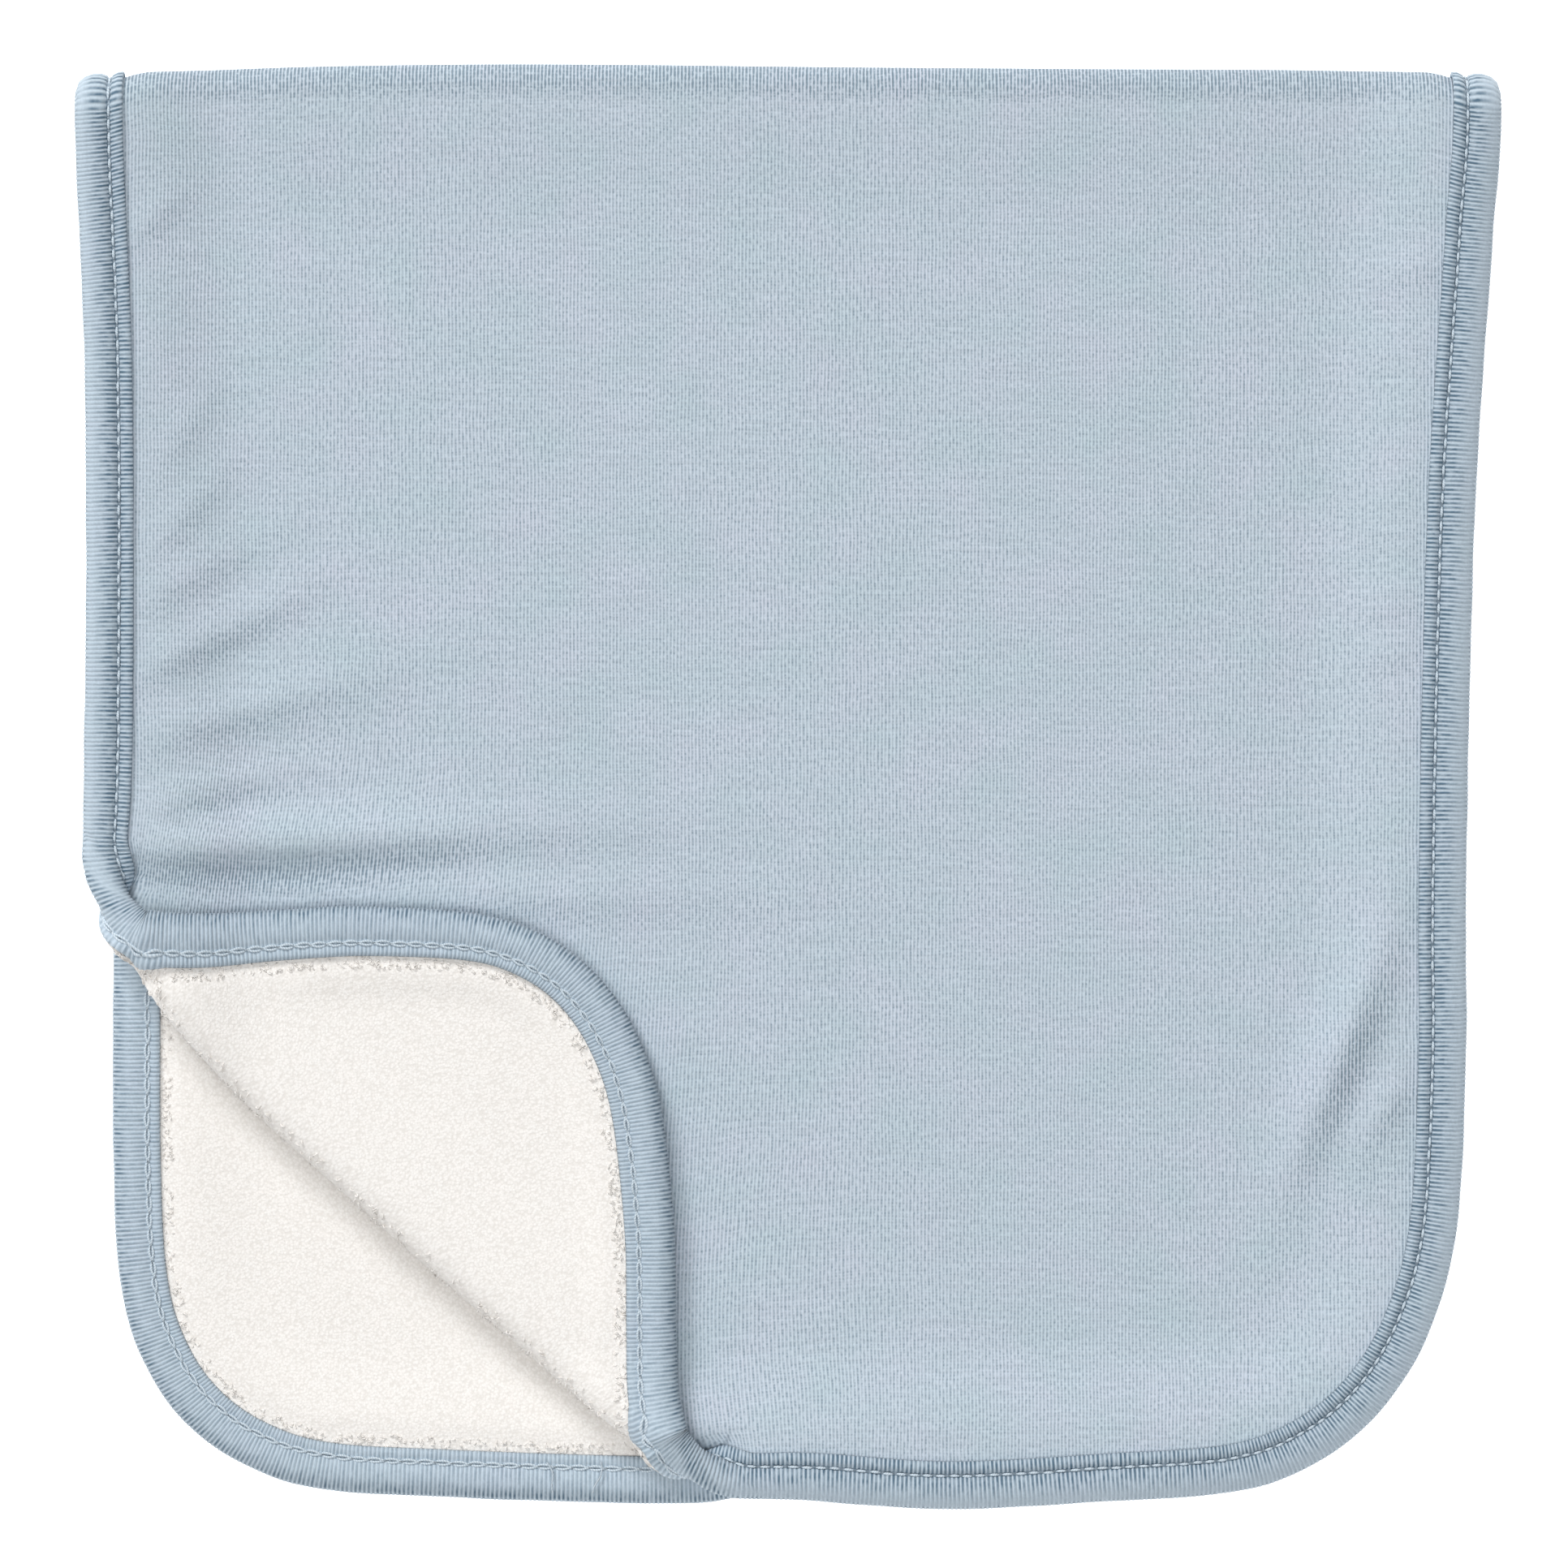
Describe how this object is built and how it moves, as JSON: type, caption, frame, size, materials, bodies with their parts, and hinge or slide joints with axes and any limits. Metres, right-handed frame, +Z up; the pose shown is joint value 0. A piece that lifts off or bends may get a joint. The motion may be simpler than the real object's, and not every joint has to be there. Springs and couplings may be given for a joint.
{
  "type": "burp cloth",
  "caption": "Bound jersey and terry burp cloth, folded in half and lying flat, with one front corner turned back to show the looped inside.",
  "frame": {"origin": "middle of the folded cloth's underside, on the surface that it lies on", "axes": "+X to the right across the cloth, +Y towards the main fold, +Z up through its layers"},
  "size_m": [0.2502, 0.254, 0.0198],
  "materials": {
    "jersey": "fine knitted cotton jersey, powder blue, matt",
    "terry": "short looped cotton terry, warm ivory, matt",
    "binding": "ribbed jersey binding tape, powder blue, matt"
  },
  "bodies": {
    "root": {"jersey_panel": "jersey", "terry_panel": "terry", "edge_binding": "binding"}
  },
  "joints": []
}
